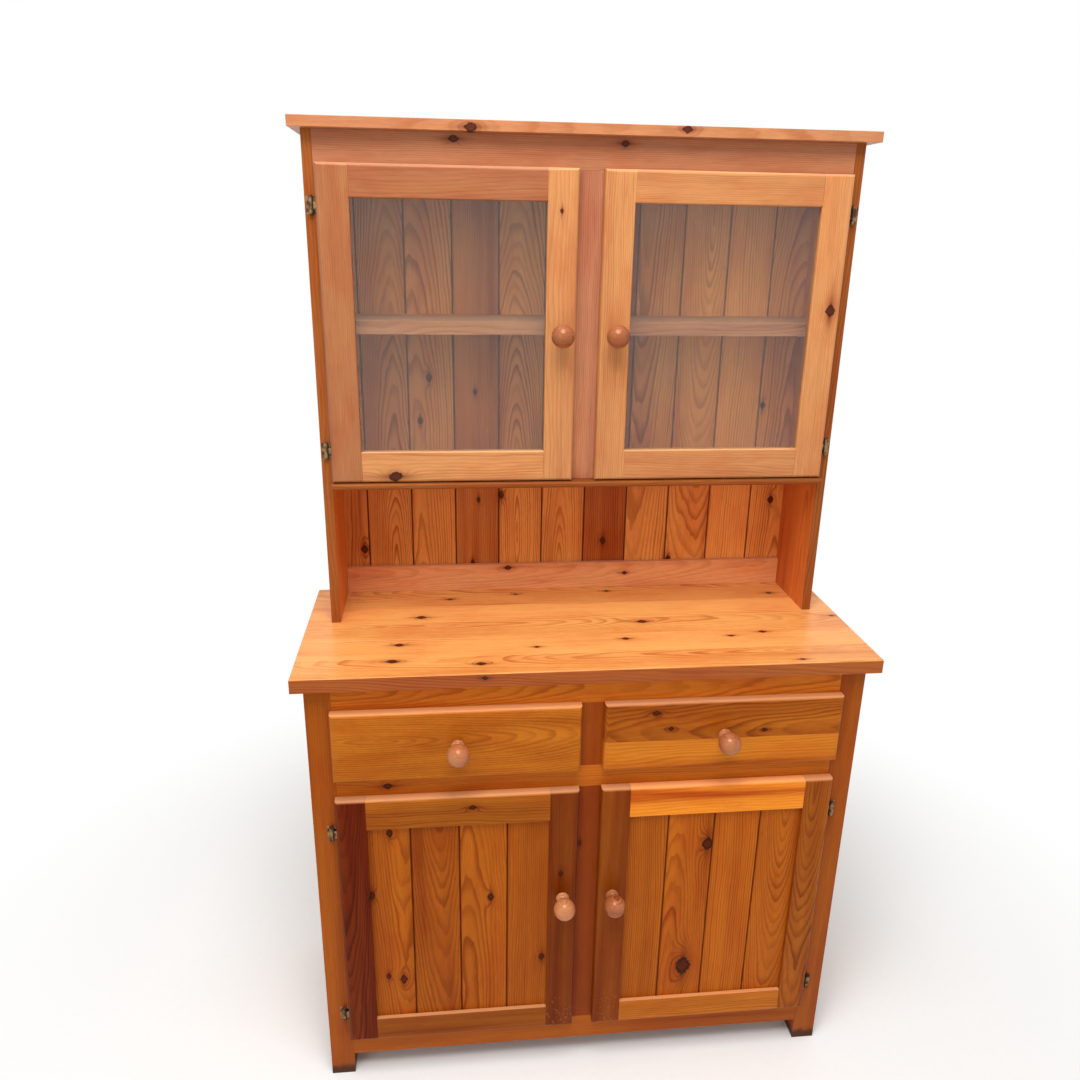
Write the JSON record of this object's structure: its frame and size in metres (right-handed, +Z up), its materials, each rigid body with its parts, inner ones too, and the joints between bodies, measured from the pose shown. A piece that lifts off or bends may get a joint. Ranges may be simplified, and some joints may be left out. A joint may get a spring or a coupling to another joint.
{
  "type": "glazed kitchen dresser",
  "caption": "Free-standing pine dresser: cupboard base with drawers and panelled doors, worktop, open display recess and a shallow glazed rack with a shelf.",
  "frame": {"origin": "on the floor, at the middle of the dresser's bounding box", "axes": "+Z up, -Y towards the person who opens the doors, +X to that person's right"},
  "size_m": [1.11, 0.4842, 1.899],
  "materials": {
    "worktop_pine": "satin lacquer",
    "carcass_pine": "satin lacquer",
    "rack_pine": "satin lacquer",
    "front_pine": "satin lacquer",
    "matchboard_pine": "satin lacquer",
    "knob_pine": "satin lacquer",
    "drawer_ply": "bare",
    "brass": "aged",
    "zinc_steel": "zinc plated",
    "pane_glass": "clear"
  },
  "bodies": {
    "dresser": {"back_posts": "carcass_pine", "base_back_boards": "matchboard_pine", "base_rails": "carcass_pine", "centre_stiles": "carcass_pine", "cornice": "rack_pine", "cupboard_floor": "carcass_pine", "drawer_rail": "carcass_pine", "drawer_runners": "carcass_pine", "frame_screws": "zinc_steel", "front_bottom_rail": "carcass_pine", "front_post_left": "carcass_pine", "front_post_right": "carcass_pine", "front_top_rail": "carcass_pine", "hinge_frame_leaves": "brass", "hinge_pins": "brass", "rack_back_boards": "matchboard_pine", "rack_back_rails": "rack_pine", "rack_face_frame": "rack_pine", "rack_floor": "rack_pine", "rack_shelf": "rack_pine", "rack_side_left": "rack_pine", "rack_side_right": "rack_pine", "rack_tie_plates": "zinc_steel", "shelf_bearers": "rack_pine", "side_boards": "matchboard_pine", "worktop": "worktop_pine"},
    "glazed_door_left": {"glazed_door_left_beads": "front_pine", "glazed_door_left_glass": "pane_glass", "glazed_door_left_hinge_leaves": "brass", "glazed_door_left_hinge_screws": "brass", "glazed_door_left_knob": "knob_pine", "glazed_door_left_rails": "front_pine", "glazed_door_left_stiles": "front_pine"},
    "glazed_door_right": {"glazed_door_right_beads": "front_pine", "glazed_door_right_glass": "pane_glass", "glazed_door_right_hinge_leaves": "brass", "glazed_door_right_hinge_screws": "brass", "glazed_door_right_knob": "knob_pine", "glazed_door_right_rails": "front_pine", "glazed_door_right_stiles": "front_pine"},
    "cupboard_door_left": {"cupboard_door_left_boards": "matchboard_pine", "cupboard_door_left_hinge_leaves": "brass", "cupboard_door_left_hinge_screws": "brass", "cupboard_door_left_knob": "knob_pine", "cupboard_door_left_rails": "front_pine", "cupboard_door_left_stiles": "front_pine"},
    "cupboard_door_right": {"cupboard_door_right_boards": "matchboard_pine", "cupboard_door_right_hinge_leaves": "brass", "cupboard_door_right_hinge_screws": "brass", "cupboard_door_right_knob": "knob_pine", "cupboard_door_right_rails": "front_pine", "cupboard_door_right_stiles": "front_pine"},
    "drawer_left": {"drawer_left_bottom": "drawer_ply", "drawer_left_box": "carcass_pine", "drawer_left_front": "front_pine", "drawer_left_knob": "knob_pine"},
    "drawer_right": {"drawer_right_bottom": "drawer_ply", "drawer_right_box": "carcass_pine", "drawer_right_front": "front_pine", "drawer_right_knob": "knob_pine"}
  },
  "joints": [
    {"name": "cupboard_door_left_hinge", "type": "hinge", "parent": "dresser", "child": "cupboard_door_left", "pos_m": [-0.5005, -0.1699, 0.401], "axis": [0, 0, -1], "range_deg": [0, 110]},
    {"name": "cupboard_door_right_hinge", "type": "hinge", "parent": "dresser", "child": "cupboard_door_right", "pos_m": [0.5005, -0.1699, 0.401], "axis": [0, 0, 1], "range_deg": [0, 110]},
    {"name": "glazed_door_left_hinge", "type": "hinge", "parent": "dresser", "child": "glazed_door_left", "pos_m": [-0.495, 0.0521, 1.542], "axis": [0, 0, -1], "range_deg": [0, 110]},
    {"name": "glazed_door_right_hinge", "type": "hinge", "parent": "dresser", "child": "glazed_door_right", "pos_m": [0.495, 0.0521, 1.542], "axis": [0, 0, 1], "range_deg": [0, 110]},
    {"name": "drawer_left_slide", "type": "slide", "parent": "dresser", "child": "drawer_left", "axis": [0, -1, 0], "range_m": [0, 0.28]},
    {"name": "drawer_right_slide", "type": "slide", "parent": "dresser", "child": "drawer_right", "axis": [0, -1, 0], "range_m": [0, 0.28]}
  ]
}
